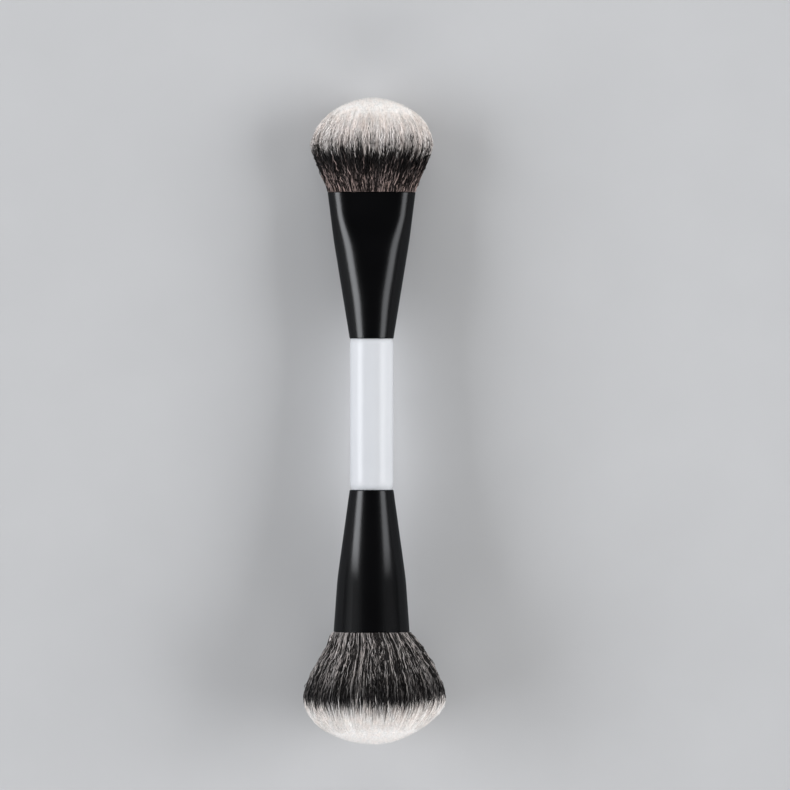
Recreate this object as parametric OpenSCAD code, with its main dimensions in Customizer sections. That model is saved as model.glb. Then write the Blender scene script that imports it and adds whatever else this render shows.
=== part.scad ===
// Double ended face brush: a turned handle between two aluminium ferrules, each holding a domed bristle head.
// One ferrule is pressed flat at its mouth and the other stays round.
// The pieces are built upright on one axis, with the tip of the round head at zero,
// and the brush is then laid down as it comes to rest, on the sides of its two heads.

/* [Handle] */
// Diameter of the lacquered grip
handle_d = 12; // [9:0.5:16]
// Length of the grip between the two ferrules
handle_len = 41.7; // [25:0.1:90]
// Length of the rounded shoulder at each end of the grip
shoulder_len = 1.2; // [0.4:0.1:2.5]
// Width of the flat at each end of the grip that a ferrule's end sits on
shoulder_seat = 0.1; // [0.1:0.05:0.2]
// Length of the tenon that each ferrule is glued over
tenon_len = 11; // [6:0.5:14]
// Bevel on the tip of each tenon
tenon_bevel = 0.8; // [0.2:0.1:1.5]
// Number of glue grooves turned in each tenon
glue_grooves = 2; // [1:1:3]
// Width of a glue groove
glue_groove_w = 1.2; // [0.6:0.1:1.8]
// Depth of a glue groove
glue_groove_depth = 0.4; // [0.2:0.1:0.8]

/* [Ferrules] */
// Wall of both ferrules
wall = 0.5; // [0.3:0.05:0.8]
// How far a ferrule's narrow end stands proud of the grip, on the radius
ferrule_step = 0.05; // [0:0.05:0.3]
// Radius of the rounded outer edge of that narrow end
end_round = 0.25; // [0.1:0.05:0.25]
// Length of the softened corner between a ferrule's two tapers
taper_blend = 5; // [3:0.5:10]

/* [Flat ferrule] */
// Length of the flat ferrule, from the grip to its mouth
flat_ferrule_len = 40.4; // [36:0.1:60]
// Width of the mouth, outside
flat_mouth_w = 24.3; // [20:0.1:32]
// Thickness of the mouth, outside
flat_mouth_t = 11.1; // [8:0.1:14]
// Width where the steep taper turns into the shallow one
flat_knee_w = 20.9; // [18:0.1:24]
// Distance of that turn from the grip
flat_knee_at = 27; // [18:0.5:30]
// How much the cone thickens from its narrow end before it is pressed, on the radius
cone_swell = 1.85; // [0.8:0.05:2.5]
// Distance from the grip at which the pressing starts
press_from = 24; // [16:0.5:26]
// Length over which the cone is pressed down to the thickness of the mouth
press_len = 11; // [6:0.5:14]

/* [Round ferrule] */
// Length of the round ferrule, from the grip to its mouth
round_ferrule_len = 39.2; // [34:0.1:60]
// Diameter of the mouth, outside
round_mouth_d = 21; // [18:0.1:28]
// Diameter where the steep taper turns into the shallow one
round_knee_d = 18.9; // [15:0.1:21]
// Distance of that turn from the grip
round_knee_at = 24.5; // [14:0.5:28]

/* [Flat head] */
// Length of the bristles that stands out of the flat ferrule
flat_hair_len = 26.3; // [20:0.1:40]
// Distance of the widest place from the mouth
flat_belt_at = 12.5; // [8:0.1:18]
// Width at the widest place
flat_belt_w = 33.8; // [28:0.1:42]
// Thickness at the widest place
flat_belt_t = 20; // [15:0.1:26]
// How sharply the sides turn in towards the mouth
flat_flare_power = 1.8; // [1:0.05:2.5]
// How far the bristles bulge over the rim of the mouth
flat_lip_bulge = 0.15; // [0.05:0.05:0.6]

/* [Round head] */
// Length of the bristles that stands out of the round ferrule
round_hair_len = 31.2; // [24:0.1:45]
// Distance of the widest place from the mouth
round_belt_at = 17.8; // [10:0.1:22]
// Diameter at the widest place
round_belt_d = 39.4; // [30:0.1:46]
// How sharply the sides turn in towards the mouth
round_flare_power = 1.25; // [1:0.05:2.5]
// How far the bristles bulge over the rim of the mouth
round_lip_bulge = 0.45; // [0.05:0.05:0.8]

/* [Bristle locks] */
// Combed locks round each head
lock_count = 52; // [24:4:56]
// Deepest groove between two locks, as a share of the width of a lock
groove_share = 0.32; // [0.05:0.01:0.4]
// Most that one lock lies further in than its neighbours, as a share of its width
sink_share = 0.12; // [0:0.01:0.2]

/* [Inside the ferrules] */
// Length of the bristles that is held inside a ferrule
root_len = 11; // [8:0.5:13]
// Length of the full stretch of bristles just inside the mouth
throat_len = 4.5; // [2:0.5:5]
// How much thinner the tied roots are than the narrowest space round them, on the radius
root_slack = 0.9; // [0.7:0.1:1.6]
// Depth to which the roots are set in the glue
root_socket = 2; // [1:0.25:3]
// Length of the glue plug
glue_len = 5; // [3.5:0.25:8]
// Width of the thread wound round the roots
tie_w = 1.6; // [0.8:0.1:2]
// Thickness of the wound thread
tie_t = 0.4; // [0.2:0.05:0.6]

/* [Resting] */
// How far the soft heads are pressed flat by the surface that they lie on
rest_press = 0.6; // [0.3:0.05:1]

/* [Hidden] */
// Clearance of a glued joint, on the radius
glue_gap = 0.05;
// Clearance between the bristles and the ferrule
hair_gap = 0.08;
// Clearance between the thread and the roots that it ties
tie_gap = 0.06;
// Height above the rim at which the bristles have passed over it
rim_clear = 0.15;
// Range of radius over which the flat ferrule's cone stops thickening
SWELL_BLEND = 1;
// Steps along a ferrule's cone, along its shaped part and from there to its rim
CONE_STEPS = 6;
SHAPED_STEPS = 10;
MOUTH_STEPS = 2;
// Steps round a rounded narrow end, round a rim and round a shoulder of the grip
END_STEPS = 3;
RIM_STEPS = 4;
SHOULDER_STEPS = 6;
// Steps along a glue plug, and along each part of a head's profile
PLUG_STEPS = 4;
FLARE_STEPS = 7;
DOME_STEPS = 8;
// Facets of a turned piece
TURNED_FN = 128;
// Points round a loft that has no locks, and round one that has, both of them multiples of four
SMOOTH_POINTS = 48;
LOCK_POINTS = 2 * lock_count;
// Angle up a dome, of 90 degrees, at which its last ring lies
DOME_TOP_ANGLE = 86;
// Halvings used to find the resting tilt, and the steepest tilt tried
TILT_HALVINGS = 40;
TILT_MOST = 25;
// Seeds of the random depths of the locks
FLAT_HEAD_SEED = 7;
ROUND_HEAD_SEED = 9;

ferrule_end_r = handle_d / 2 + ferrule_step;
tenon_r = ferrule_end_r - wall - glue_gap;
shoulder_end_r = ferrule_end_r - wall + shoulder_seat;

// Places along the upright brush
round_mouth_at = round_hair_len;
handle_from = round_mouth_at + round_ferrule_len;
handle_to = handle_from + handle_len;
flat_mouth_at = handle_to + flat_ferrule_len;

lacquer_white = [0.9, 0.91, 0.93];
ferrule_black = [0.05, 0.05, 0.055];
bristle_grey = [0.36, 0.34, 0.33];
glue_amber = [0.72, 0.62, 0.42];
thread_grey = [0.6, 0.6, 0.58];

function mix(a, b, share) = a + (b - a) * share;
function clamp01(x) = min(max(x, 0), 1);
function smooth(x) = let (t = clamp01(x)) t * t * (3 - 2 * t);
// Zero well below zero, x well above it, and a parabola for the stretch of the given width between them
function soft_ramp(x, width) =
    x <= -width / 2 ? 0 : x >= width / 2 ? x : pow(x + width / 2, 2) / (2 * width);
// Two straight tapers that meet at the knee in a softened corner
function two_tapers(at, start, knee, end, knee_at, length) =
    let (steep = (knee - start) / knee_at, shallow = (end - knee) / (length - knee_at))
    start + steep * at + (shallow - steep) * soft_ramp(at - knee_at, taper_blend);

// Outside of each ferrule at a distance from the grip
function round_ferrule_r(at) =
    two_tapers(at, ferrule_end_r, round_knee_d / 2, round_mouth_d / 2, round_knee_at, round_ferrule_len);
function flat_ferrule_half_w(at) =
    two_tapers(at, ferrule_end_r, flat_knee_w / 2, flat_mouth_w / 2, flat_knee_at, flat_ferrule_len);
function flat_ferrule_half_t(at) =
    let (
        cone = flat_ferrule_half_w(at),
        eased = cone - soft_ramp(cone - ferrule_end_r - cone_swell, SWELL_BLEND)
    )
    mix(eased, flat_mouth_t / 2, smooth((at - press_from) / press_len));

// One quarter of a section from its end to its broad side, with share running from 0 to 1.
// It is a flat-sided oval with round ends, or an ellipse where oval is 1.
function quarter_point(half_w, half_t, share, oval) =
    let (
        arc = half_t * PI / 2,
        flat = half_w - half_t,
        walk = share * (arc + flat),
        turn = min(walk / half_t * 180 / PI, 90),
        slotted = [flat + half_t * cos(turn) - max(walk - arc, 0), half_t * sin(turn)],
        elliptic = [half_w * cos(90 * share), half_t * sin(90 * share)]
    )
    mix(slotted, elliptic, oval);

// A whole section as points, counter-clockwise seen from above
function section(half_w, half_t, count, oval = 0) = [
    for (i = [0 : count - 1])
        let (
            quarter = floor(4 * i / count),
            share = 4 * i / count - quarter,
            forward = quarter % 2 == 0,
            p = quarter_point(half_w, half_t, forward ? share : 1 - share, oval)
        )
        [quarter == 1 || quarter == 2 ? -p[0] : p[0], quarter > 1 ? -p[1] : p[1]]
];

function at_height(points, z) = [for (p = points) [p[0], p[1], z]];

function side_faces(rings, count, closed) = [
    for (i = [0 : rings - (closed ? 1 : 2)], j = [0 : count - 1])
        let (
            a = i * count + j,
            b = i * count + (j + 1) % count,
            c = ((i + 1) % rings) * count + (j + 1) % count,
            d = ((i + 1) % rings) * count + j
        )
        each [[a, d, c], [a, c, b]]
];

// A solid through a list of rings, closed at both ends by a fan about the middle of the end ring
module solid_loft(rings) {
    count = len(rings[0]);
    last = (len(rings) - 1) * count;
    bottom_middle = len(rings) * count;
    top_middle = bottom_middle + 1;
    polyhedron(
        points = concat(
            [for (ring = rings) each ring],
            [[0, 0, rings[0][0][2]], [0, 0, rings[len(rings) - 1][0][2]]]
        ),
        faces = concat(
            side_faces(len(rings), count, false),
            [for (j = [0 : count - 1]) [bottom_middle, j, (j + 1) % count]],
            [for (j = [0 : count - 1]) [top_middle, last + (j + 1) % count, last + j]]
        )
    );
}

// A shell whose rings run up the outside, over the rim and down the inside
module shell_loft(rings) {
    polyhedron(
        points = [for (ring = rings) each ring],
        faces = side_faces(len(rings), len(rings[0]), true)
    );
}

// The half-round rim of a sheet: [inset from the outside, drop from the end], without its two edges
function rim_points() = [
    for (k = [1 : RIM_STEPS - 1])
        wall / 2 * [1 - cos(180 * k / RIM_STEPS), 1 - sin(180 * k / RIM_STEPS)]
];

// The rounded edge of a ferrule's narrow end: [inset from the outside, place along the ferrule]
function end_points() = [
    for (k = [0 : END_STEPS - 1])
        end_round * [1 - sin(90 * k / END_STEPS), 1 - cos(90 * k / END_STEPS)]
];

function spread(from, to, steps) = [for (k = [1 : steps]) mix(from, to, k / steps)];
// Places along a ferrule after its narrow end, close together where its form changes
function places_between(shaped_from, shaped_to, length) = concat(
    spread(end_round, shaped_from, CONE_STEPS),
    spread(shaped_from, shaped_to, SHAPED_STEPS),
    spread(shaped_to, length - wall / 2, MOUTH_STEPS)
);
flat_places = places_between(press_from, press_from + press_len, flat_ferrule_len);
round_places = places_between(
    round_knee_at - taper_blend / 2,
    round_knee_at + taper_blend / 2,
    round_ferrule_len
);

// A ferrule's outside as [inset, place], from its narrow end to the start of the rim
function outer_points(places) = concat(end_points(), [for (at = concat([end_round], places)) [0, at]]);
// Its inside as places, from the rim back to the narrow end
function inner_places(places) = concat([for (k = [len(places) - 1 : -1 : 0]) places[k]], [0]);

// Handle, turned in one piece with its tenons
function shoulder_arc() = [
    for (k = [0 : SHOULDER_STEPS])
        let (angle = 90 * k / SHOULDER_STEPS)
        [mix(shoulder_end_r, handle_d / 2, cos(angle)), shoulder_len * (sin(angle) - 1)]
];

module glue_groove() {
    translate([0, 0, -glue_groove_w / 2])
        rotate_extrude($fn = TURNED_FN)
            translate([tenon_r - glue_groove_depth, 0])
                square([2 * glue_groove_depth, glue_groove_w]);
}

module half_handle() {
    groove_pitch = tenon_len / (glue_grooves + 1);
    difference() {
        rotate_extrude($fn = TURNED_FN)
            polygon(concat(
                [[0, -handle_len / 2], [handle_d / 2, -handle_len / 2]],
                shoulder_arc(),
                [
                    [tenon_r, 0],
                    [tenon_r, tenon_len - tenon_bevel],
                    [tenon_r - tenon_bevel, tenon_len],
                    [0, tenon_len]
                ]
            ));
        for (k = [1 : glue_grooves])
            translate([0, 0, k * groove_pitch])
                glue_groove();
    }
}

module handle() {
    color(lacquer_white)
        lay_down()
            translate([0, 0, (handle_from + handle_to) / 2]) {
                translate([0, 0, handle_len / 2]) half_handle();
                rotate([180, 0, 0]) translate([0, 0, handle_len / 2]) half_handle();
            }
}

// Ferrules, each with its mouth at height zero and its narrow end below
module flat_ferrule() {
    outside = [
        for (p = outer_points(flat_places))
            at_height(
                section(
                    flat_ferrule_half_w(p[1]) - p[0],
                    flat_ferrule_half_t(p[1]) - p[0],
                    SMOOTH_POINTS
                ),
                p[1] - flat_ferrule_len
            )
    ];
    rim = [
        for (p = rim_points())
            at_height(
                section(flat_mouth_w / 2 - p[0], flat_mouth_t / 2 - p[0], SMOOTH_POINTS),
                -p[1]
            )
    ];
    inside = [
        for (at = inner_places(flat_places))
            at_height(
                section(flat_ferrule_half_w(at) - wall, flat_ferrule_half_t(at) - wall, SMOOTH_POINTS),
                at - flat_ferrule_len
            )
    ];
    color(ferrule_black)
        at_flat_mouth()
            shell_loft(concat(outside, rim, inside));
}

module round_ferrule() {
    rim_end = [round_mouth_d / 2, 0];
    color(ferrule_black)
        at_round_mouth()
            rotate_extrude($fn = TURNED_FN)
                polygon(concat(
                    [
                        for (p = outer_points(round_places))
                            [round_ferrule_r(p[1]) - p[0], p[1] - round_ferrule_len]
                    ],
                    [for (p = rim_points()) rim_end - p],
                    [
                        for (at = inner_places(round_places))
                            [round_ferrule_r(at) - wall, at - round_ferrule_len]
                    ]
                ));
}

// Space inside each ferrule at a depth below the mouth, less a clearance
function flat_space(depth, gap) = [
    flat_ferrule_half_w(flat_ferrule_len - depth) - wall - gap,
    flat_ferrule_half_t(flat_ferrule_len - depth) - wall - gap
];
function round_space(depth, gap) =
    let (r = round_ferrule_r(round_ferrule_len - depth) - wall - gap)
    [r, r];
function narrowest(a, b) = [min(a[0], b[0]), min(a[1], b[1])];
// Depth of the thread's upper edge, which lies just above the glue
tie_top = root_len - root_socket - glue_gap - tie_w;
// The tied roots clear the wall at their ends and at the thread
function flat_root() = narrowest(flat_space(root_len, root_slack), flat_space(tie_top, root_slack));
function round_root() = narrowest(round_space(root_len, root_slack), round_space(tie_top, root_slack));
function oval_ring(size, z) = at_height(section(size[0], size[1], SMOOTH_POINTS), z);

// Hardened glue: it fills the ferrule below the roots and cups their ends.
// Its profile runs up the outside, over the top and down into the socket.
glue_top = root_len - root_socket;
glue_bottom = glue_top + glue_len;

module flat_glue_plug() {
    outside = [
        for (k = [0 : PLUG_STEPS])
            let (depth = mix(glue_bottom, glue_top, k / PLUG_STEPS))
            oval_ring(flat_space(depth, glue_gap), -depth)
    ];
    socket = flat_root() + [glue_gap, glue_gap];
    color(glue_amber)
        at_flat_mouth()
            solid_loft(concat(outside, [oval_ring(socket, -glue_top), oval_ring(socket, -root_len)]));
}

module round_glue_plug() {
    socket_r = round_root()[0] + glue_gap;
    color(glue_amber)
        at_round_mouth()
            rotate_extrude($fn = TURNED_FN)
                polygon([
                    [0, -glue_bottom],
                    [round_space(glue_bottom, glue_gap)[0], -glue_bottom],
                    [round_space(glue_top, glue_gap)[0], -glue_top],
                    [socket_r, -glue_top],
                    [socket_r, -root_len],
                    [0, -root_len]
                ]);
}

// Thread wound round the roots just above the glue
module flat_root_tie() {
    inner = flat_root() + [tie_gap, tie_gap];
    outer = inner + [tie_t, tie_t];
    color(thread_grey)
        at_flat_mouth()
            shell_loft([
                oval_ring(outer, -tie_top - tie_w),
                oval_ring(outer, -tie_top),
                oval_ring(inner, -tie_top),
                oval_ring(inner, -tie_top - tie_w)
            ]);
}

module round_root_tie() {
    inner = round_root()[0] + tie_gap;
    color(thread_grey)
        at_round_mouth()
            rotate_extrude($fn = TURNED_FN)
                translate([inner, -tie_top - tie_w])
                    square([tie_t, tie_w]);
}

// Bristle heads. A head's ring is [height above the mouth, half width, half thickness, oval, groove],
// where oval runs from flat-sided to elliptic, and groove from none to the full depth.
function root_rings(root, space_at_throat, space_at_mouth) = [
    [-root_len, root[0], root[1], 0, 0],
    [glue_gap - tie_top, root[0], root[1], 0, 0],
    [-throat_len, space_at_throat[0], space_at_throat[1], 0, 0],
    [0, space_at_mouth[0], space_at_mouth[1], 0, 0]
];

// From the rim to the widest place
function flare_rings(lip, belt, belt_at, power) = [
    for (k = [0 : FLARE_STEPS])
        let (share = k / FLARE_STEPS, swell = pow(sin(90 * share), power))
        [
            mix(rim_clear, belt_at, share),
            mix(lip[0], belt[0], swell),
            mix(lip[1], belt[1], swell),
            share,
            smooth(share * 2)
        ]
];

// From the widest place to the crown
function dome_rings(belt, belt_at, hair_len) = [
    for (k = [1 : DOME_STEPS])
        let (angle = DOME_TOP_ANGLE * k / DOME_STEPS)
        [
            belt_at + (hair_len - belt_at) * sin(angle) / sin(DOME_TOP_ANGLE),
            belt[0] * cos(angle),
            belt[1] * cos(angle),
            1,
            1
        ]
];

flat_belt = [flat_belt_w, flat_belt_t] / 2;
round_belt = [round_belt_d, round_belt_d] / 2;

flat_head_rings = concat(
    root_rings(flat_root(), flat_space(throat_len, hair_gap), flat_space(0, hair_gap)),
    flare_rings(
        [flat_mouth_w / 2 + flat_lip_bulge, flat_mouth_t / 2 + flat_lip_bulge],
        flat_belt, flat_belt_at, flat_flare_power
    ),
    dome_rings(flat_belt, flat_belt_at, flat_hair_len)
);
round_head_rings = concat(
    root_rings(round_root(), round_space(throat_len, hair_gap), round_space(0, hair_gap)),
    flare_rings(
        [round_mouth_d / 2 + round_lip_bulge, round_mouth_d / 2 + round_lip_bulge],
        round_belt, round_belt_at, round_flare_power
    ),
    dome_rings(round_belt, round_belt_at, round_hair_len)
);

// Every second point round a head lies in the groove between two locks
function lock_depths(seed) =
    let (groove = rands(0.5, 1, lock_count, seed), sink = rands(0, 1, lock_count, seed + 1))
    [
        for (i = [0 : lock_count - 1])
            each [sink_share * sink[i], sink_share * sink[i] + groove_share * groove[i]]
    ];

// Points of a section moved in towards the axis, each by its depth times the width of a lock there
function combed(points, depths, share) = [
    for (i = [0 : len(points) - 1])
        let (lock_w = norm(points[(i + 1) % len(points)] - points[(i + len(points) - 1) % len(points)]))
        points[i] * (1 - depths[i] * share * lock_w / norm(points[i]))
];

module bristle_head(rings, seed) {
    depths = lock_depths(seed);
    solid_loft([
        for (ring = rings)
            at_height(combed(section(ring[1], ring[2], LOCK_POINTS, ring[3]), depths, ring[4]), ring[0])
    ]);
}

module flat_bristles() {
    color(bristle_grey)
        pressed_on_surface()
            at_flat_mouth() bristle_head(flat_head_rings, FLAT_HEAD_SEED);
}

module round_bristles() {
    color(bristle_grey)
        pressed_on_surface()
            at_round_mouth() bristle_head(round_head_rings, ROUND_HEAD_SEED);
}

// How the brush lies: [place along the upright brush, half thickness there] for both heads
flat_outline = [for (ring = flat_head_rings) [flat_mouth_at + ring[0], ring[2]]];
round_outline = [for (ring = round_head_rings) [round_mouth_at - ring[0], ring[2]]];

// Reach of an outline below the axis when the flat end dips by the tilt
function reach(outline, tilt) = max([for (p = outline) p[0] * sin(tilt) + p[1] * cos(tilt)]);
// The tilt at which both heads reach equally far, so that both touch the surface
function resting_tilt(low, high, halvings) =
    let (middle = (low + high) / 2, dips_more = reach(flat_outline, middle) < reach(round_outline, middle))
    halvings == 0 ? middle
        : resting_tilt(dips_more ? middle : low, dips_more ? high : middle, halvings - 1);

tilt = resting_tilt(0, TILT_MOST, TILT_HALVINGS);
far_end = max([for (p = flat_outline) p[0] * cos(tilt) + p[1] * sin(tilt)]);
near_end = min([for (p = round_outline) p[0] * cos(tilt) - p[1] * sin(tilt)]);

module lay_down() {
    translate([0, -(far_end + near_end) / 2, reach(round_outline, tilt) - rest_press])
        rotate([-90 - tilt, 0, 0])
            children();
}

module at_flat_mouth() {
    lay_down() translate([0, 0, flat_mouth_at]) children();
}

module at_round_mouth() {
    lay_down() translate([0, 0, round_mouth_at]) rotate([180, 0, 0]) children();
}

// The soft heads keep a small flat where they lie on the surface
module pressed_on_surface() {
    span = 2 * (far_end - near_end);
    difference() {
        children();
        translate([-span / 2, -span / 2, -span])
            cube([span, span, span]);
    }
}

handle();
flat_ferrule();
round_ferrule();
flat_glue_plug();
round_glue_plug();
flat_root_tie();
round_root_tie();
flat_bristles();
round_bristles();
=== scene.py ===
import math

import bpy
import numpy as np
from mathutils import Matrix, Vector


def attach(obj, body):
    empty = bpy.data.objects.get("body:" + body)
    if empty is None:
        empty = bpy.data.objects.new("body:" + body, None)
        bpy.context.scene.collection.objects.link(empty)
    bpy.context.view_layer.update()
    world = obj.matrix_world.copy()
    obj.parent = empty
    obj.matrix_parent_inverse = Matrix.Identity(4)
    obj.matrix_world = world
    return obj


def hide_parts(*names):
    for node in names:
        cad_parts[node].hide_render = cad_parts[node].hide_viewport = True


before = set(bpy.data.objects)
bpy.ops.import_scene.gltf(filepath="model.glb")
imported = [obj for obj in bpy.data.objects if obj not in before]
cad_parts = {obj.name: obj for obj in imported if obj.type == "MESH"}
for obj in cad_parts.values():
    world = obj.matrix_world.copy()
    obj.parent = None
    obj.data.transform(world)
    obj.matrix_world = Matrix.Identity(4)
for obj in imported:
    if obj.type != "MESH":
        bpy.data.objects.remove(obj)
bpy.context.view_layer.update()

# The part's own sizes in millimetres, as part.scad has them
TILT = math.radians(3.66103)
LIFT = 19.9154
MIDDLE = 89.196
ROUND_MOUTH_AT = 31.2
FLAT_MOUTH_AT = 152.5
GRIP_R = 6.0
END_R = 6.05
WALL = 0.5
END_ROUND = 0.25
TAPER_BLEND = 5.0
SWELL_BLEND = 1.0
CONE_SWELL = 1.85
PRESS_FROM, PRESS_LEN = 24.0, 11.0
# Height over the mouth at which a bundle starts to widen, which is 0.15 in part.scad
RIM_CLEAR = 0.2

MM = 0.001
ACROSS = np.array((1.0, 0.0, 0.0))
UP = np.array((0.0, math.sin(TILT), math.cos(TILT)))
ALONG = np.array((0.0, math.cos(TILT), -math.sin(TILT)))
ORIGIN = np.array((0.0, -MIDDLE, LIFT))


def to_row(across, up, along):
    """Places in the brush's own frame, in millimetres, as points of the row frame in metres."""
    across, up, along = np.broadcast_arrays(across, up, along)
    return (ORIGIN + across[..., None] * ACROSS + up[..., None] * UP + along[..., None] * ALONG) * MM


def mix(a, b, share):
    return a + (b - a) * share


def smooth(x):
    x = np.clip(x, 0, 1)
    return x * x * (3 - 2 * x)


def soft_ramp(x, width):
    """Zero well below zero, x well above it, and a parabola between them."""
    x = np.asarray(x, float)
    return np.where(x <= -width / 2, 0, np.where(x >= width / 2, x, (x + width / 2) ** 2 / (2 * width)))


def standing(x_axis, y_axis, z_axis, place):
    """The matrix of an object that stands at a place, with its own axes along the three given."""
    rows = np.stack([x_axis, y_axis, z_axis, place], 1)
    return Matrix((*[tuple(row) for row in rows], (0, 0, 0, 1)))


def two_tapers(at, start, knee, end, knee_at, length):
    """The radius of a cone with a steep and then a shallow taper, eased where they meet."""
    steep, shallow = (knee - start) / knee_at, (end - knee) / (length - knee_at)
    return start + steep * at + (shallow - steep) * soft_ramp(at - knee_at, TAPER_BLEND)


class RoundFerrule:
    """The sleeve that is round all along. outward is the way that its mouth faces along the brush."""

    length, mouth_at, outward = 39.2, ROUND_MOUTH_AT, -1
    knee_r, knee_at, mouth_r = 9.45, 24.5, 10.5

    @classmethod
    def half_w(cls, at):
        return two_tapers(at, END_R, cls.knee_r, cls.mouth_r, cls.knee_at, cls.length)

    half_t = half_w


class FlatFerrule:
    """The sleeve that is pressed from round to flat-sided at its mouth."""

    length, mouth_at, outward = 40.4, FLAT_MOUTH_AT, 1
    knee_r, knee_at, mouth_half_w, mouth_half_t = 10.45, 27.0, 12.15, 5.55

    @classmethod
    def half_w(cls, at):
        return two_tapers(at, END_R, cls.knee_r, cls.mouth_half_w, cls.knee_at, cls.length)

    @classmethod
    def half_t(cls, at):
        cone = cls.half_w(at)
        eased = cone - soft_ramp(cone - END_R - CONE_SWELL, SWELL_BLEND)
        return mix(eased, cls.mouth_half_t, smooth((at - PRESS_FROM) / PRESS_LEN))


def section(half_w, half_t, turn, oval=0.0):
    """Points of a flat-sided oval, or of an ellipse where oval is 1. turn counts quarters from 0 to 4."""
    half_w, half_t, turn, oval = np.broadcast_arrays(half_w, half_t, turn, oval)
    quarter = np.floor(turn).astype(int) % 4
    share = turn - np.floor(turn)
    share = np.where(quarter % 2 == 0, share, 1 - share)
    arc, flat = half_t * math.pi / 2, half_w - half_t
    walk = share * (arc + flat)
    angle = np.minimum(walk / half_t, math.pi / 2)
    x = mix(flat + half_t * np.cos(angle) - np.maximum(walk - arc, 0), half_w * np.cos(share * math.pi / 2), oval)
    y = mix(half_t * np.sin(angle), half_t * np.sin(share * math.pi / 2), oval)
    return np.where((quarter == 1) | (quarter == 2), -x, x), np.where(quarter > 1, -y, y)


# Camera, square on to the brush's axis as in the photograph. A pixel is given in millimetres, and the brush's axis
# and round end by their pixels.
PIXEL = 0.27586
FRAME_PIXELS = 790
AXIS_PIXEL, END_PIXEL = 371.6, 745
DISTANCE = 3.0
AIM_ACROSS = (FRAME_PIXELS / 2 - AXIS_PIXEL) * PIXEL
AIM_ALONG = (END_PIXEL - FRAME_PIXELS / 2) * PIXEL

scene = bpy.context.scene
camera_data = bpy.data.cameras.new("camera")
camera_data.sensor_width = 36.0
camera_data.lens = camera_data.sensor_width * DISTANCE / (FRAME_PIXELS * PIXEL * MM)
camera_data.clip_start, camera_data.clip_end = 0.05, 50.0
camera = bpy.data.objects.new("camera", camera_data)
scene.collection.objects.link(camera)
scene.camera = camera
aim = to_row(AIM_ACROSS, 0.0, AIM_ALONG)
camera.matrix_world = standing(ACROSS, ALONG, UP, aim + UP * DISTANCE)


# Lights: two long soft boxes beside the brush, which gloss sees, and five soft fills, which it doesn't
def area_light(name, size, radiance, place, towards, glossy=True, colour=(1, 1, 1)):
    data = bpy.data.lights.new(name, "AREA")
    data.shape = "RECTANGLE"
    data.size, data.size_y = size
    data.energy = math.pi * radiance * size[0] * size[1]
    data.color = colour
    light = bpy.data.objects.new(name, data)
    scene.collection.objects.link(light)
    light.location = Vector(place)
    light.rotation_mode = "QUATERNION"
    light.rotation_quaternion = (Vector(towards) - Vector(place)).to_track_quat("-Z", "Y")
    light.visible_glossy = glossy
    return light


# Each soft box's side of the brush, and its degrees off the camera's direction
BOX_PLACES = {"left": (-1, 64), "right": (1, 60.5)}
BOX_DISTANCE, BOX_LENGTH = 4.8, 5.0
BOX_MIDDLE_AT = 92
BOX_COLOUR = (0.975, 0.995, 1.035)


def box_light(side_name, wide, radiance):
    """A soft box along the brush, wide degrees across."""
    side, from_view = BOX_PLACES[side_name]
    angle = math.radians(from_view)
    middle = to_row(0, 0, BOX_MIDDLE_AT)
    back = side * math.sin(angle) * ACROSS + math.cos(angle) * UP
    place = middle + back * BOX_DISTANCE
    width = 2 * BOX_DISTANCE * math.tan(math.radians(wide / 2))
    light = area_light(f"light_{side_name}", (width, BOX_LENGTH), radiance, place, middle, colour=BOX_COLOUR)
    light.matrix_world = standing(np.cross(ALONG, back), ALONG, back, place)


box_light("left", 28, 5.7)
box_light("right", 26, 3.1)
for name, size, radiance, place, towards in (
    ("light_fill", (8.0, 8.0), 0.42, (0.0, 0.0, 8.8), (0, 0, 0)),
    ("light_right_low", (2.8, 3.2), 3.7, (4.0, 0.0, 1.66), (0, 0, 0.01)),
    ("light_left_low", (1.4, 3.2), 1.5, (-4.0, 0.0, 0.8), (0, 0, 0.01)),
    ("light_far", (5.6, 2.4), 2.8, (0.0, 4.4, 1.54), (0, 0.05, 0.02)),
    ("light_near", (5.6, 2.4), 3.0, (0.0, -4.4, 1.54), (0, -0.05, 0.02)),
):
    area_light(name, size, radiance, place, towards, glossy=False)

scene.view_settings.view_transform = "Standard"
scene.view_settings.look = "None"

# World: dim as a light, and pale where the camera sees it past the floor
world = bpy.data.worlds.new("studio")
world.use_nodes = True
scene.world = world
wt = world.node_tree
wt.nodes.clear()
w_out = wt.nodes.new("ShaderNodeOutputWorld")
w_dim = wt.nodes.new("ShaderNodeBackground")
w_dim.inputs["Color"].default_value = (0.03, 0.031, 0.033, 1)
w_seen = wt.nodes.new("ShaderNodeBackground")
w_seen.inputs["Color"].default_value = (0.5, 0.505, 0.515, 1)
w_path = wt.nodes.new("ShaderNodeLightPath")
w_mix = wt.nodes.new("ShaderNodeMixShader")
wt.links.new(w_path.outputs["Is Camera Ray"], w_mix.inputs[0])
wt.links.new(w_dim.outputs[0], w_mix.inputs[1])
wt.links.new(w_seen.outputs[0], w_mix.inputs[2])
wt.links.new(w_mix.outputs[0], w_out.inputs[0])


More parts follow.
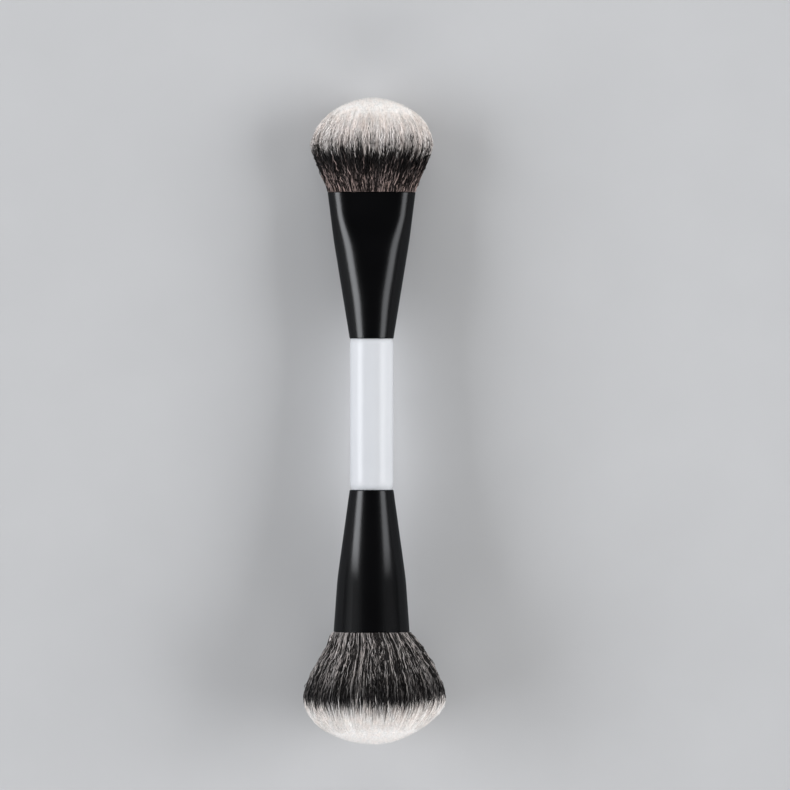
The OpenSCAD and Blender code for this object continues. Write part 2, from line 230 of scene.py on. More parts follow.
# Materials
class Nodes:
    """A material under construction."""

    def __init__(self, name):
        self.material = bpy.data.materials.new(name)
        self.material.use_nodes = True
        self.tree = self.material.node_tree
        self.shader = self.tree.nodes["Principled BSDF"]

    def add(self, kind, values=None, **settings):
        node = self.tree.nodes.new("ShaderNode" + kind)
        for key, value in settings.items():
            setattr(node, key, value)
        for key, value in (values or {}).items():
            self.put(node.inputs[key], value)
        return node

    def put(self, socket, value):
        if isinstance(value, bpy.types.NodeSocket):
            self.tree.links.new(value, socket)
        else:
            socket.default_value = value

    def set(self, **values):
        for key, value in values.items():
            self.put(self.shader.inputs[key.replace("_", " ")], value)

    def noise(self, scale, detail, stretch=(1, 1, 1)):
        where = self.add("TexCoord").outputs["Object"]
        if stretch != (1, 1, 1):
            where = self.add("Mapping", {"Vector": where, "Scale": stretch}).outputs[0]
        return self.add("TexNoise", {"Vector": where, "Scale": scale, "Detail": detail}).outputs["Fac"]

    def spread(self, value, low, high, from_low=0.0, from_high=1.0):
        return self.add("MapRange", {
            "Value": value, "From Min": from_low, "From Max": from_high, "To Min": low, "To Max": high,
        }).outputs[0]

    def ramp(self, value, stops, interpolation="LINEAR"):
        node = self.add("ValToRGB", {"Fac": value})
        ramp = node.color_ramp
        ramp.interpolation = interpolation
        while len(ramp.elements) > 1:
            ramp.elements.remove(ramp.elements[-1])
        for i, (at, colour) in enumerate(stops):
            element = ramp.elements[0] if i == 0 else ramp.elements.new(at)
            element.position = at
            element.color = (*colour, 1)
        return node.outputs["Color"]

    def blend(self, share, a, b, kind="MIX"):
        node = self.add("Mix", data_type="RGBA", blend_type=kind)
        self.put(node.inputs[0], share)
        self.put(node.inputs[6], a)
        self.put(node.inputs[7], b)
        return node.outputs[2]

    def bump(self, height, distance):
        return self.add("Bump", {"Height": height, "Distance": distance, "Strength": 1.0}).outputs[0]


def lacquer_black():
    m = Nodes("black_lacquer")
    cloud = m.noise(60, 4)
    fine = m.noise(900, 2)
    colour = m.ramp(cloud, [(0.3, (0.0010, 0.0010, 0.0012)), (0.7, (0.0018, 0.0018, 0.0021))])
    m.set(Base_Color=colour, Roughness=m.spread(cloud, 0.2, 0.27), Normal=m.bump(fine, 0.000004), IOR=1.5)
    return m.material


def lacquer_white():
    """White lacquer on the grip. The attribute "bare" is 1 on the tenons, which are plain turned wood."""
    m = Nodes("white_lacquer")
    bare = m.add("Attribute", attribute_name="bare").outputs["Fac"]
    cloud = m.noise(45, 4)
    fine = m.noise(700, 2)
    grain = m.noise(900, 4, (1, 0.08, 1))
    lacquer = m.ramp(cloud, [(0.3, (0.60, 0.612, 0.635)), (0.7, (0.63, 0.642, 0.662))])
    wood = m.ramp(grain, [(0.3, (0.36, 0.22, 0.11)), (0.7, (0.56, 0.38, 0.21))])
    rough = m.add("Math", {0: m.spread(cloud, 0.28, 0.34), 1: m.spread(bare, 0, 0.4)}, operation="ADD")
    m.set(
        Base_Color=m.blend(bare, lacquer, wood),
        Roughness=rough.outputs[0],
        Normal=m.bump(fine, 0.000003),
        IOR=1.5,
    )
    return m.material


def glue():
    m = Nodes("amber_glue")
    cloud = m.noise(350, 4)
    m.set(
        Base_Color=m.ramp(cloud, [(0.3, (0.45, 0.3, 0.12)), (0.7, (0.62, 0.47, 0.24))]),
        Roughness=m.spread(cloud, 0.2, 0.4),
        Normal=m.bump(cloud, 0.0001),
    )
    return m.material


def thread():
    m = Nodes("wound_thread")
    where = m.add("TexCoord").outputs["Object"]
    turns = m.add("TexWave", {"Vector": where, "Scale": 900.0, "Distortion": 1.0},
                  wave_type="BANDS", bands_direction="Y").outputs["Fac"]
    m.set(
        Base_Color=m.ramp(turns, [(0.1, (0.24, 0.24, 0.23)), (0.8, (0.5, 0.5, 0.48))]),
        Roughness=m.spread(turns, 0.8, 0.95),
        Normal=m.bump(turns, 0.0001),
    )
    return m.material


def floor_paper():
    """Pale paper, which is darker to glossy rays, so that the ferrules mirror it weakly."""
    m = Nodes("floor_paper")
    fine = m.noise(40, 6)
    pale = m.ramp(fine, [(0.3, (0.495, 0.497, 0.502)), (0.7, (0.51, 0.512, 0.517))])
    mirrored = m.add("LightPath").outputs["Is Glossy Ray"]
    m.set(Base_Color=m.blend(mirrored, pale, (0.13, 0.133, 0.14, 1)), Roughness=m.spread(fine, 0.85, 0.95))
    return m.material


def bristle(name, light, dark):
    """Banded bristles. rise is the height over the mouth, as a share of the head with each strand's shift in it,
    and tone is the strand's own shade, from dark to light. light and dark give the bands of both kinds."""
    m = Nodes(name)
    rise = m.add("Attribute", attribute_name="rise").outputs["Fac"]
    tone = m.add("Attribute", attribute_name="tone").outputs["Fac"]
    banded = m.blend(tone, m.ramp(rise, dark, "EASE"), m.ramp(rise, light, "EASE"))
    streak = m.spread(m.noise(2600, 2, (1, 0.08, 1)), 0.88, 1.12, 0.3, 0.7)
    grain = m.spread(m.noise(1800, 2), 0.9, 1.1, 0.3, 0.7)
    shade = m.add("Math", {0: streak, 1: grain}, operation="MULTIPLY").outputs[0]
    tint = m.ramp(m.noise(700, 1, (1, 0.1, 1)), [(0.38, (1.0, 0.975, 0.965)), (0.62, (0.98, 0.99, 1.0))])
    colour = m.blend(1.0, banded, m.add("CombineColor", {0: shade, 1: shade, 2: shade}).outputs[0], "MULTIPLY")
    colour = m.blend(1.0, colour, tint, "MULTIPLY")
    m.set(Base_Color=colour, Roughness=m.spread(m.noise(500, 2), 0.42, 0.62))
    m.set(IOR=1.45, Specular_IOR_Level=0.2)
    return m.material


# Meshes
def mesh_piece(name, verts, faces, material, uv=None, attributes=None):
    """A new smooth object from numpy arrays. faces is a list of arrays, each with its own corner count."""
    me = bpy.data.meshes.new(name)
    corners = np.concatenate([f.ravel() for f in faces]).astype(np.int32)
    counts = np.concatenate([np.full(len(f), f.shape[1]) for f in faces]).astype(np.int32)
    starts = np.concatenate([[0], np.cumsum(counts)[:-1]]).astype(np.int32)
    me.vertices.add(len(verts))
    me.vertices.foreach_set("co", np.asarray(verts, np.float32).ravel())
    me.loops.add(len(corners))
    me.loops.foreach_set("vertex_index", corners)
    me.polygons.add(len(counts))
    me.polygons.foreach_set("loop_start", starts)
    me.polygons.foreach_set("use_smooth", np.ones(len(counts), bool))
    if uv is not None:
        layer = me.uv_layers.new(name="OFBake")
        layer.data.foreach_set("uv", np.asarray(uv, np.float32).ravel())
    for key, values in (attributes or {}).items():
        layer = me.attributes.new(key, "FLOAT", "POINT")
        layer.data.foreach_set("value", np.asarray(values, np.float32).ravel())
    me.update(calc_edges=True)
    me.validate()
    me.materials.append(material)
    ob = bpy.data.objects.new(name, me)
    scene.collection.objects.link(ob)
    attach(ob, "root")
    return ob


def ring_faces(rings, count, closed):
    """Quads between neighbouring rings of count points. A closed stack also joins its last ring to its first."""
    i = np.arange(rings if closed else rings - 1)[:, None]
    j = np.arange(count)[None]
    a, b = i * count + j, i * count + (j + 1) % count
    nxt = ((i + 1) % rings) * count
    return np.stack([a, b, nxt + (j + 1) % count, nxt + j], -1).reshape(-1, 4)


def end_fans(rings, count):
    """Triangles that close both ends of a stack of rings, round the two points that come after the rings."""
    first, top, j = rings * count, (rings - 1) * count, np.arange(count)
    after = (j + 1) % count
    return np.concatenate([
        np.stack([np.full(count, first), after, j], 1),
        np.stack([np.full(count, first + 1), top + j, top + after], 1),
    ])


def uv_corners(corners, axis=1):
    """Places on the map of the corners of many faces, from each corner's two arrays."""
    return np.stack([np.stack(pair, -1) for pair in corners], axis)


def give_way(points, give):
    """Eases points in millimetres that come lower than give, so that none goes under the surface."""
    low = points[..., 2] < give
    points[..., 2][low] = give * np.exp(points[..., 2][low] / give - 1)


AROUND = 128
CONE_RINGS, RIM_RINGS, END_RINGS, INNER_RINGS = 60, 9, 7, 16


def ferrule_piece(name, kind, node):
    """A ferrule as one smooth shell, from its narrow end up the outside, over the rim and down the inside."""
    turn = np.arange(AROUND) / AROUND * 4
    corner = np.linspace(0, math.pi / 2, END_RINGS, endpoint=False)
    end = [(END_ROUND * (1 - math.sin(a)), END_ROUND * (1 - math.cos(a))) for a in corner]
    outside = [(0.0, at) for at in np.linspace(END_ROUND, kind.length - WALL / 2, CONE_RINGS)]
    rim = [
        (WALL / 2 * (1 - math.cos(a)), kind.length - WALL / 2 * (1 - math.sin(a)))
        for a in np.linspace(0, math.pi, RIM_RINGS)[1:-1]
    ]
    inside = [(WALL, at) for at in np.linspace(kind.length - WALL / 2, 0, INNER_RINGS)]
    rows = np.array(end + outside + rim + inside)
    inset, at = rows[:, :1], rows[:, 1:]
    in_rim = (rows[:, 1] > kind.length - WALL / 2)[:, None]
    base = np.where(in_rim, kind.length, at)
    x, y = section(kind.half_w(base) - inset, kind.half_t(base) - inset, turn[None])
    along = kind.mouth_at + kind.outward * (at - kind.length)
    verts = to_row(x, y, along + 0 * x).reshape(-1, 3)
    faces = ring_faces(len(rows), AROUND, True)
    if kind.outward > 0:
        faces = faces[:, ::-1]
    # The map follows the way walked over the rings, so that it isn't stretched
    steps = np.concatenate([[0], np.cumsum(np.linalg.norm(np.diff(rows, axis=0), axis=1))])
    steps = np.append(steps, steps[-1] + WALL)
    i, j = np.divmod(np.arange(len(rows) * AROUND), AROUND)
    u0, u1, v0, v1 = j / AROUND, (j + 1) / AROUND, steps[i] / steps[-1], steps[i + 1] / steps[-1]
    quads = uv_corners(((u0, v0), (u1, v0), (u1, v1), (u0, v1)))
    if kind.outward > 0:
        quads = quads[:, ::-1]
    ob = mesh_piece(name, verts, [faces], BLACK, uv=quads.reshape(-1, 2))
    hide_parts(node)


# The handle's sizes, as part.scad has them but for the tenons, which are 0.03 slimmer, and the shoulders below
GRIP_FROM, GRIP_TO = 70.4, 112.1
TENON_R, TENON_LEN, TENON_BEVEL = 5.47, 11.0, 0.8
GROOVE_W, GROOVE_DEPTH = 1.2, 0.4
# Half the width over which a turned edge falls
EDGE = 0.03
# Length and end radius of each shoulder, 1.2 and 5.65 in part.scad
ROUND_SHOULDER, FLAT_SHOULDER = (2.1, 5.5), (1.6, 5.68)
SHOULDER_RINGS, SHOULDER_BEND = 14, 1.5
GRIP_STEP = 4


def half_profile(shoulder_len, shoulder_end):
    """Rows of one half of the handle, from the grip out. Each has its place past the joint, its radius, and 1
    where it is bare wood."""
    rows = [(-shoulder_len - GRIP_STEP * k, GRIP_R, 0) for k in (4, 3, 2, 1)]
    for walk in np.linspace(0, 1, SHOULDER_RINGS):
        rows.append((shoulder_len * (walk - 1), mix(GRIP_R, shoulder_end, walk ** SHOULDER_BEND), 0))
    rows.append((EDGE, TENON_R, 1))
    groove_r = TENON_R - GROOVE_DEPTH
    for k in (1, 2):
        for side, before, after in ((-1, TENON_R, groove_r), (1, groove_r, TENON_R)):
            edge = k * TENON_LEN / 3 + side * GROOVE_W / 2
            rows += [(edge - EDGE, before, 1), (edge + EDGE, after, 1)]
    rows += [
        (TENON_LEN - TENON_BEVEL, TENON_R, 1), (TENON_LEN, TENON_R - TENON_BEVEL, 1), (TENON_LEN, TENON_R / 2, 1),
    ]
    return rows


def handle_piece():
    """The handle as one turned form, lacquered on the grip and its shoulders and bare on its tenons."""
    low = [(GRIP_FROM - at, r, bare) for at, r, bare in half_profile(*ROUND_SHOULDER)]
    high = [(GRIP_TO + at, r, bare) for at, r, bare in half_profile(*FLAT_SHOULDER)]
    rows = np.array(low[::-1] + high)
    turn = np.arange(AROUND) / AROUND * 2 * math.pi
    points = to_row(rows[:, 1:2] * np.cos(turn), rows[:, 1:2] * np.sin(turn), rows[:, :1] + 0 * turn)
    ends = to_row(np.zeros(2), np.zeros(2), rows[[0, -1], 0])
    verts = np.concatenate([points.reshape(-1, 3), ends])
    quads = ring_faces(len(rows), AROUND, False)
    i, j = np.divmod(np.arange(len(quads)), AROUND)
    steps = np.concatenate([[0], np.cumsum(np.linalg.norm(np.diff(rows[:, :2], axis=0), axis=1))])
    v = 0.04 + 0.92 * steps / steps[-1]
    a, b = j / AROUND, (j + 1) / AROUND
    quad_uv = uv_corners(((a, v[i]), (b, v[i]), (b, v[i + 1]), (a, v[i + 1])))
    fans = end_fans(len(rows), AROUND)
    j = np.arange(AROUND)
    a, b, mid = j / AROUND, (j + 1) / AROUND, (j + 0.5) / AROUND
    fan_uv = np.concatenate([
        uv_corners(((mid, 0 * mid), (b, 0 * b + v[0]), (a, 0 * a + v[0]))),
        uv_corners(((mid, 0 * mid + 1), (a, 0 * a + v[-1]), (b, 0 * b + v[-1]))),
    ])
    bare = np.concatenate([np.repeat(rows[:, 2], AROUND), (1, 1)])
    uv = np.concatenate([quad_uv.reshape(-1, 2), fan_uv.reshape(-1, 2)])
    ob = mesh_piece("turned_handle", verts, [quads, fans], WHITE, uv=uv,
                    attributes={"bare": bare})
    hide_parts("handle")


# Bristle heads
# Heights over which the bundle's drift and its dome's lean come in, and the shares of the half width from which
# and over which the dome gets lower at the right
DRIFT_OVER, LEAN_OVER = 5, 8
DENT_FROM, DENT_OVER = 0.1, 0.7


class Head:
    """A head's sizes in millimetres, with its own strands. flare is where the widening starts, how steep it is and
    how softly it ends, border is how far the colour bands of the strands scatter and trail, wander is how the
    bands rise across the head, as a polynomial's factors, peak is how pointed the dome is, drift and lean are the
    shifts to the right of the bundle and of its dome, and dent is how much lower the dome is at the right."""

    def __init__(self, name, ferrule, lip, belt, belt_at, hair_len, flare, border, wander, peak, drift, lean,
                 dent, seed):
        self.name, self.ferrule = name, ferrule
        self.lip, self.belt = np.array(lip), np.array(belt)
        self.mouth = np.array((ferrule.half_w(ferrule.length), ferrule.half_t(ferrule.length)))
        self.belt_at, self.hair_len, self.border, self.drift = belt_at, hair_len, border, drift
        self.wander, self.peak, self.lean, self.dent = wander, peak, lean, dent
        self.flare_start, self.flare_slope, self.flare_soft = flare
        self.random = np.random.default_rng(seed)
        self.full = 1.0
        self.full = float(self.spread(1.0))

    def spread(self, walk):
        """How far the widening from the mouth to the belt has come, from 0 to 1."""
        line = self.flare_slope * soft_ramp(walk - self.flare_start, 2 * self.flare_start)
        return (line - soft_ramp(line - 1, self.flare_soft)) / self.full

    def outline(self, rise):
        """Half width and half thickness at heights over the mouth, and how far the section is an ellipse."""
        walk = np.clip(rise / self.belt_at, 0, 1)
        above = np.clip((rise - self.belt_at) / (self.hair_len - self.belt_at), 0, 0.9995)
        share, dome = self.spread(walk), (1 - above ** 2) ** (self.peak / 2)
        return mix(self.lip[0], self.belt[0], share) * dome, mix(self.lip[1], self.belt[1], share) * dome, walk

    def place(self, across, up, rise):
        """Points of the head in the row frame, with the bundle's drift, lean and dent."""
        dome = smooth((rise - self.belt_at) / LEAN_OVER)
        across = across + self.drift * smooth(rise / DRIFT_OVER) + self.lean * dome
        rise = rise - self.dent * smooth((across / self.belt[0] - DENT_FROM) / DENT_OVER) * dome
        return to_row(across, up, self.ferrule.mouth_at + self.ferrule.outward * rise)


# Shares of the way to their clump's middle that outer strands and tips are drawn
CLUMP_PULL, TIP_PULL = 0.45, 0.2
# Classes of strands that share their shades, and the share of strands that take their clump's class
TONES = 64
CLUMP_TONED = 0.12
# Distance of the roots from the ferrule's inside, and the heights of the rings inside it and in its opening
MOUTH_INSET = 0.14
ROOT_AT, OPENING_AT = -1.2, 0.03
# Share of a strand's length at which the mesh of a tip starts
TIPS_FROM = 0.72
# Outer strands end on the dome up to OUTER_SPAN of its half width in from the belt, and OUTER_FROM radians higher
OUTER_SPAN, OUTER_FROM = 0.32, 0.03
# Sideways kinks in millimetres, shared by a clump and a strand's own
CLUMP_KINK, OWN_KINK = 0.11, 0.06
# Share of a strand's length from which and over which it gets thinner, and how much
THIN_FROM, THIN_OVER, THINNED = 0.72, 0.28, 0.75
# Heights under which strands and the core give way to the surface
STRAND_GIVE, CORE_GIVE = 0.7, 1.0
# Height on the map of the triangles that close a strand
CAP_STEP = 0.004
# How far apart the shades of the classes lie, how sharply they part, and where and over what they turn light
OWN_TONE, TONE_CONTRAST = 1.8, 1.7
LIGHT_FROM, LIGHT_OVER = 0.64, 0.2


def strand_tones(rnd, rings):
    """The shades of each class of strands from root to tip, 0 dark and 1 light, so that light stretches come and
    go along a strand. The share of light ones is the same at each height."""
    own = rnd.permutation(np.linspace(-OWN_TONE, OWN_TONE, TONES))[:, None]
    walk = rnd.normal(0, 1, (TONES, rings + 3))
    wave = (walk[:, :-3] + walk[:, 1:-2] + walk[:, 2:-1] + walk[:, 3:]) / 2
    share = 1 / (1 + np.exp(-TONE_CONTRAST * (0.7 * own + 0.7 * wave)))
    return smooth((share - LIGHT_FROM) / LIGHT_OVER) * 0.92 + share * 0.08


def strands(head, name, count, depths, rings, thick, per_clump, material, tips=False):
    """A piece of closed three-sided strands whose shares of the head's section lie between two depths. Those of
    the outside hug the dome, and the tips are only the last stretch of the strands that end on it."""
    rnd = head.random
    depth = np.sqrt(rnd.uniform(depths[0] ** 2, depths[1] ** 2, count))
    turn = rnd.uniform(0, 4, count)
    # Strands of one clump draw together towards their tips
    clumps = int(count / per_clump)
    clump_depth = np.sqrt(rnd.uniform(depths[0] ** 2, depths[1] ** 2, clumps))
    clump_turn = rnd.uniform(0, 4, clumps)
    cx, cy = section(head.belt[0], head.belt[1], clump_turn, 1.0)
    sx, sy = section(head.belt[0], head.belt[1], turn, 1.0)
    cx, cy, sx, sy = cx * clump_depth, cy * clump_depth, sx * depth, sy * depth
    nearest = np.empty(count, int)
    for start in range(0, count, 1000):
        part = slice(start, start + 1000)
        nearest[part] = np.argmin((sx[part, None] - cx) ** 2 + (sy[part, None] - cy) ** 2, axis=1)
    if tips:
        elevation = np.arcsin(np.clip(1 - depth ** 2 + rnd.normal(0, 0.006, count), 0.0, 0.998))
        start_at = TIPS_FROM
    else:
        elevation = np.arccos(1 - OUTER_SPAN * rnd.uniform(0, 1, count)) + OUTER_FROM
        start_at = 0.0
    reach = head.hair_len - head.belt_at
    tip_rise = head.belt_at + reach * np.sin(elevation) - 0.08 - np.abs(rnd.normal(0, 0.1, count))
    walk = start_at + (1 - start_at) * np.linspace(0, 1, rings)[None] + np.zeros((count, 1))
    rise = RIM_CLEAR + walk * (tip_rise[:, None] - RIM_CLEAR)
    if tips:
        # Straight to a place on the dome
        tip_x, tip_y = section(head.belt[0], head.belt[1], turn, 1.0)
        gain = mix(0.62, 1.0, (walk - start_at) / (1 - start_at)) * np.cos(elevation)[:, None] ** head.peak
        x, y = tip_x[:, None] * gain, tip_y[:, None] * gain
        near = nearest[:, None]
        cxs, cys = section(head.belt[0], head.belt[1], clump_turn[near], 1.0)
        clump_reach = np.sqrt(np.clip(1 - (1 - clump_depth[near] ** 2) ** 2, 0, 1))
        clump_gain = clump_reach * gain / np.cos(elevation)[:, None] ** head.peak
        px, py = cxs * clump_gain, cys * clump_gain
    else:
        half_w, half_t, oval = head.outline(rise)
        x, y = section(half_w, half_t, turn[:, None], oval)
        x, y = x * depth[:, None], y * depth[:, None]
        px, py = section(half_w, half_t, clump_turn[nearest][:, None], oval)
        px, py = px * clump_depth[nearest][:, None], py * clump_depth[nearest][:, None]
    drawn = (TIP_PULL if tips else CLUMP_PULL) * smooth(walk * 1.1) * rnd.uniform(0.4, 1.3, count)[:, None]
    x, y = x + (px - x) * drawn, y + (py - y) * drawn
    # Crimp: a kink at each ring, in part shared by a clump
    shared = rnd.normal(0, 1, (2, clumps, rings))[:, nearest]
    kinks = shared * CLUMP_KINK + rnd.normal(0, 1, (2, count, rings)) * OWN_KINK
    stray = np.minimum(rnd.lognormal(0, 0.4, count), 2.6)[:, None]
    ease = smooth(rise / 2) * stray * (0.3 if tips else 1.0)
    x, y = x + kinks[0] * ease, y + kinks[1] * ease * 0.6
    if not tips:  # two more rings, inside the ferrule and in its opening
        inner = head.mouth - WALL - MOUTH_INSET
        rx, ry = section(inner[0], inner[1], turn, 0.0)
        opening = mix(depth, 1.0, 0.5)
        x = np.concatenate([(rx * depth)[:, None], (rx * opening)[:, None], x], 1)
        y = np.concatenate([(ry * depth)[:, None], (ry * opening)[:, None], y], 1)
        rise = np.concatenate([np.full((count, 1), ROOT_AT), np.full((count, 1), OPENING_AT), rise], 1)
        walk = np.concatenate([np.zeros((count, 2)), walk], 1)
        rings += 2
    spines = head.place(x, y, rise) / MM
    along = np.gradient(spines, axis=1)
    along /= np.linalg.norm(along, axis=2, keepdims=True)
    spin = rnd.uniform(0, 2 * math.pi, count)
    side = np.cos(spin)[:, None] * ACROSS + np.sin(spin)[:, None] * UP
    side = side[:, None] - (along * side[:, None]).sum(2, keepdims=True) * along
    side /= np.linalg.norm(side, axis=2, keepdims=True)
    other = np.cross(along, side)
    thinner = 1 - THINNED * smooth((walk - THIN_FROM) / THIN_OVER)
    radius = thick * rnd.uniform(0.7, 1.25, count)[:, None] * thinner
    points = np.empty((count, rings, 3, 3))
    for k in range(3):
        a = 2 * math.pi * k / 3
        points[:, :, k] = spines + radius[..., None] * (math.cos(a) * side + math.sin(a) * other)
    give_way(points, STRAND_GIVE)
    verts = points.reshape(-1, 3) * MM
    i = np.arange(count)[:, None, None] * rings * 3
    k = np.arange(rings - 1)[None, :, None] * 3
    j = np.arange(3)[None, None]
    a, b = i + k + j, i + k + (j + 1) % 3
    quads = np.stack([a, b, b + 3, a + 3], -1).reshape(-1, 4)
    base = np.arange(count) * rings * 3
    top = base + (rings - 1) * 3
    caps = np.concatenate([np.stack([base + 2, base + 1, base], 1), np.stack([top, top + 1, top + 2], 1)])
    # A class of strands shares its shades and its shift, and one column of the map
    as_clump = rnd.random(count) < CLUMP_TONED
    kind = np.where(as_clump, rnd.integers(0, TONES, clumps)[nearest], rnd.integers(0, TONES, count))
    tones = strand_tones(rnd, rings)
    shifts = rnd.normal(0, head.border[0], TONES) + head.border[1] - rnd.exponential(head.border[1], TONES)
    across = sx / head.belt[0]
    rise = rise + sum(factor * across ** power for power, factor in enumerate(head.wander))[:, None]
    shown = rise / head.hair_len + (shifts[kind] / head.hair_len)[:, None]
    tone = np.repeat(tones[kind].reshape(-1), 3)
    shown3 = np.repeat(shown.reshape(-1), 3)
    v = np.clip(rise / head.hair_len * 0.9 + 0.06, 0.001, 0.999)
    column = (kind / TONES)[:, None, None]
    u0 = column + j / 3 / TONES + 0 * k
    u1 = column + (j + 1) / 3 / TONES + 0 * k
    v0 = np.broadcast_to(v[:, :-1, None], u0.shape)
    v1 = np.broadcast_to(v[:, 1:, None], u0.shape)
    uv = [uv_corners(((u0, v0), (u1, v0), (u1, v1), (u0, v1)), 3).reshape(-1, 2)]
    left = kind / TONES
    for edge, step in ((0, CAP_STEP), (-1, -CAP_STEP)):
        at = v[:, edge]
        cap = ((left, at), (left + 1 / TONES, at), (left + 0.5 / TONES, at + step))
        uv.append(uv_corners(cap).reshape(-1, 2))
    return mesh_piece(name, verts, [quads, caps], material, uv=np.concatenate(uv),
                      attributes={"rise": shown3, "tone": tone})


CORE_AROUND = 96
# Depths in the ferrule of the ends of the roots, of where they start to widen, and of the full stretch
ROOT_LEN, NARROW_TO, THROAT_LEN = 11.0, 7.3, 4.5
# How much lower and slimmer than the head the core's dome is, and the elevation at which it closes
CORE_LOWER, CORE_SLIMMER = 0.7, 0.6
CORE_TOP = math.radians(84)


def core(head, name, material, root):
    """The dense inside of a head, down to its roots in the glue, as one closed form."""
    rows = [(-ROOT_LEN, *root, 0.0), (-NARROW_TO, *root, 0.0),
            (-THROAT_LEN, *(head.lip - 1.9), 0.0), (-0.5, *(head.lip - 1.3), 0.0)]
    for rise in np.linspace(RIM_CLEAR, head.belt_at, 26):
        half_w, half_t, oval = head.outline(rise)
        # How far the core keeps under the strands
        gone = 0.75 + 0.6 * smooth(rise / 5) - 0.75 * smooth(rise / head.belt_at)
        rows.append((rise, half_w - gone, half_t - gone, oval))
    for a in np.linspace(0, CORE_TOP, 16)[1:]:
        rows.append((
            head.belt_at + (head.hair_len - head.belt_at - CORE_LOWER) * math.sin(a),
            *((head.belt - CORE_SLIMMER) * math.cos(a)), 1.0,
        ))
    rows = np.array(rows)
    turn = np.arange(CORE_AROUND) / CORE_AROUND * 4
    x, y = section(rows[:, 1:2], rows[:, 2:3], turn[None], rows[:, 3:4])
    points = head.place(x, y, rows[:, :1] + 0 * x) / MM
    give_way(points, CORE_GIVE)
    points = points.reshape(-1, 3)
    ends = head.place(np.zeros(2), np.zeros(2), rows[[0, -1], 0]) / MM
    verts = np.concatenate([points, ends]) * MM
    quads = ring_faces(len(rows), CORE_AROUND, False)
    fans = end_fans(len(rows), CORE_AROUND)
    if head.ferrule.outward > 0:
        quads, fans = quads[:, ::-1], fans[:, ::-1]
    shown = np.concatenate([np.repeat(rows[:, 0], CORE_AROUND), rows[[0, -1], 0]]) / head.hair_len
    return mesh_piece(name, verts, [quads, fans], material,
                      attributes={"rise": shown, "tone": np.full(len(shown), 0.4)})


BLACK = lacquer_black()
WHITE = lacquer_white()

# The CAD nodes that stay get better materials
for node, material in (
    ("flat_glue_plug", glue()), ("round_glue_plug", glue()),
    ("flat_root_tie", thread()), ("round_root_tie", thread()),
):
    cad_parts[node].data.materials.clear()
    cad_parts[node].data.materials.append(material)

handle_piece()
ferrule_piece("flat_ferrule_shell", FlatFerrule, "flat_ferrule")
ferrule_piece("round_ferrule_shell", RoundFerrule, "round_ferrule")

flat_hair = bristle(
    "flat_bristle",
    light=[(0.0, (0.47, 0.355, 0.32)), (0.15, (0.34, 0.26, 0.24)), (0.28, (0.055, 0.045, 0.043)),
           (0.39, (0.010, 0.009, 0.009)), (0.50, (0.74, 0.69, 0.66)), (0.63, (0.98, 0.93, 0.89)),
           (0.9, (0.93, 0.90, 0.865))],
    dark=[(0.0, (0.005, 0.0035, 0.0035)), (0.3, (0.003, 0.0025, 0.0025)), (0.44, (0.004, 0.0035, 0.0035)),
          (0.56, (0.46, 0.42, 0.395)), (0.67, (0.90, 0.84, 0.80)), (0.76, (0.90, 0.85, 0.81)),
          (0.9, (0.85, 0.82, 0.785))],
)
round_hair = bristle(
    "round_bristle",
    light=[(0.0, (0.54, 0.50, 0.48)), (0.30, (0.51, 0.475, 0.455)), (0.45, (0.26, 0.242, 0.233)),
           (0.60, (0.06, 0.056, 0.055)), (0.665, (0.78, 0.74, 0.71)), (0.73, (0.95, 0.92, 0.89)),
           (0.9, (0.87, 0.845, 0.82))],
    dark=[(0.0, (0.009, 0.008, 0.0078)), (0.4, (0.006, 0.0055, 0.0055)), (0.64, (0.006, 0.0055, 0.006)),
          (0.70, (0.62, 0.58, 0.555)), (0.76, (0.94, 0.91, 0.88)), (0.9, (0.87, 0.845, 0.82))],
)

flat_head = Head(
    "flat", FlatFerrule, (12.2, 5.7), (16.75, 9.9), 12.5, 26.3,
    flare=(0.07, 1.09, 0.5), border=(1.2, 1.7), wander=(-0.2, 0.5, 0.4), peak=1.09, drift=0.0,
    lean=0.35, dent=0.0, seed=11,
)
round_head = Head(
    "round", RoundFerrule, (10.9, 10.9), (19.65, 19.55), 17.8, 31.2,
    flare=(0.01, 1.12, 0.9), border=(1.0, 0.6), wander=(0.1, 0.0, 1.1, 0.9), peak=1.03, drift=0.83,
    lean=-0.2, dent=0.95, seed=12,
)

OUTER_DEPTHS = (0.965, 1.0)
TIP_DEPTHS = (0.0, 0.985)
# Rings and radius of the long strands and of the tips
LONG, SHORT = (25, 0.095), (3, 0.07)
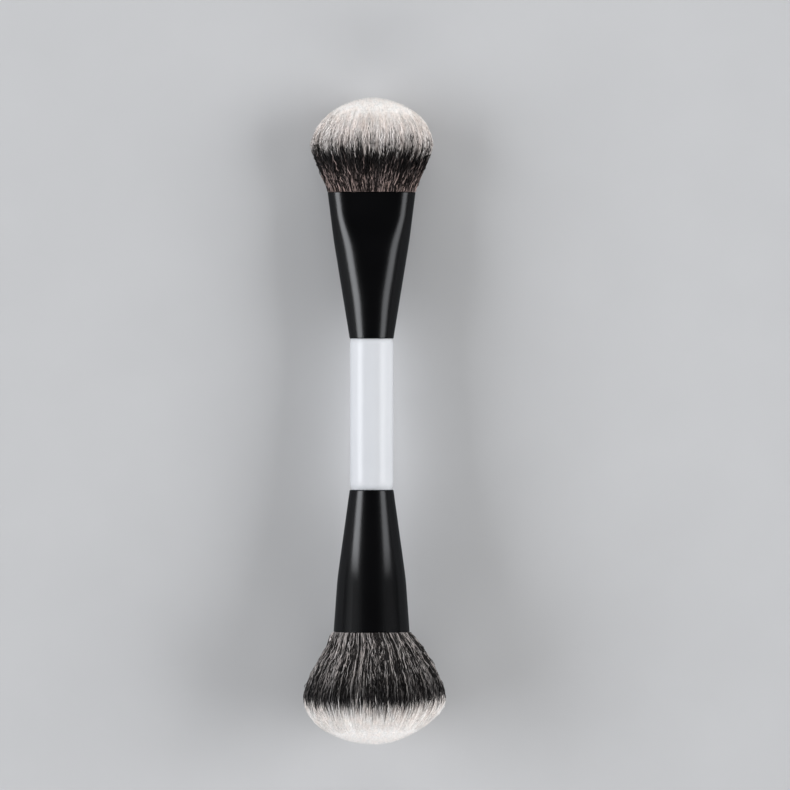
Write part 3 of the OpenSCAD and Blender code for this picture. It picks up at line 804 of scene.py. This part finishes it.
# Each head's looks, its node, the half sizes of its roots, and how many strands it has outside, under and as tips
HEADS = (
    (flat_head, flat_hair, "flat_bristles", (10.0, 4.2), (1000, 500, 11000)),
    (round_head, round_hair, "round_bristles", (8.6, 8.6), (1200, 600, 14000)),
)
for head, hair, node, root, (outer, under, tips) in HEADS:
    made = [
        core(head, f"{head.name}_hair_core", hair, root),
        strands(head, f"{head.name}_hair_outer", outer, OUTER_DEPTHS, *LONG, 2.2, hair),
        strands(head, f"{head.name}_hair_under", under, OUTER_DEPTHS, *LONG, 3.5, hair),
        strands(head, f"{head.name}_hair_tips", tips, TIP_DEPTHS, *SHORT, 4, hair, tips=True),
    ]
    for piece in made:
        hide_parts(node)

# Stage
def card(name, corners, material):
    """A flat sheet of the studio, from its four corners."""
    mesh = bpy.data.meshes.new(name)
    mesh.from_pydata([tuple(corner) for corner in corners], [], [(0, 1, 2, 3)])
    mesh.materials.append(material)
    sheet = bpy.data.objects.new(name, mesh)
    scene.collection.objects.link(sheet)
    return sheet


def flag_black():
    m = Nodes("flag_card")
    colour = m.ramp(m.noise(60, 2), [(0.3, (0.010, 0.0105, 0.012)), (0.7, (0.014, 0.0145, 0.016))])
    m.set(Base_Color=colour, Roughness=0.9, Specular_IOR_Level=0.0)
    return m.material


REACH = 4.2
floor_corners = ((-REACH, -REACH, 0), (REACH, -REACH, 0), (REACH, REACH, 0), (-REACH, REACH, 0))
floor = card("floor", floor_corners, floor_paper())

# Flags: dark cards between the round ferrule and the soft boxes, seen only in gloss, which end its highlights
FLAG_AT, FLAG_HALF = 62.0, 38.0
FLAG_FROM, FLAG_TO = ROUND_MOUTH_AT - 20, ROUND_MOUTH_AT + 31
FLAG_BLACK = flag_black()
for side_name, (side, from_view) in BOX_PLACES.items():
    angle = math.radians(from_view)
    across, up = side * math.sin(angle), math.cos(angle)
    corners = [
        to_row(across * FLAG_AT - up * side * lateral, up * FLAG_AT + abs(across) * lateral, along)
        for lateral, along in (
            (-FLAG_HALF, FLAG_FROM), (FLAG_HALF, FLAG_FROM), (FLAG_HALF, FLAG_TO), (-FLAG_HALF, FLAG_TO)
        )
    ]
    flag = card(f"flag_{side_name}", corners, FLAG_BLACK)
    flag.visible_camera = flag.visible_diffuse = flag.visible_shadow = flag.visible_transmission = False

# Brings the scene's transforms up to date
bpy.context.view_layer.update()
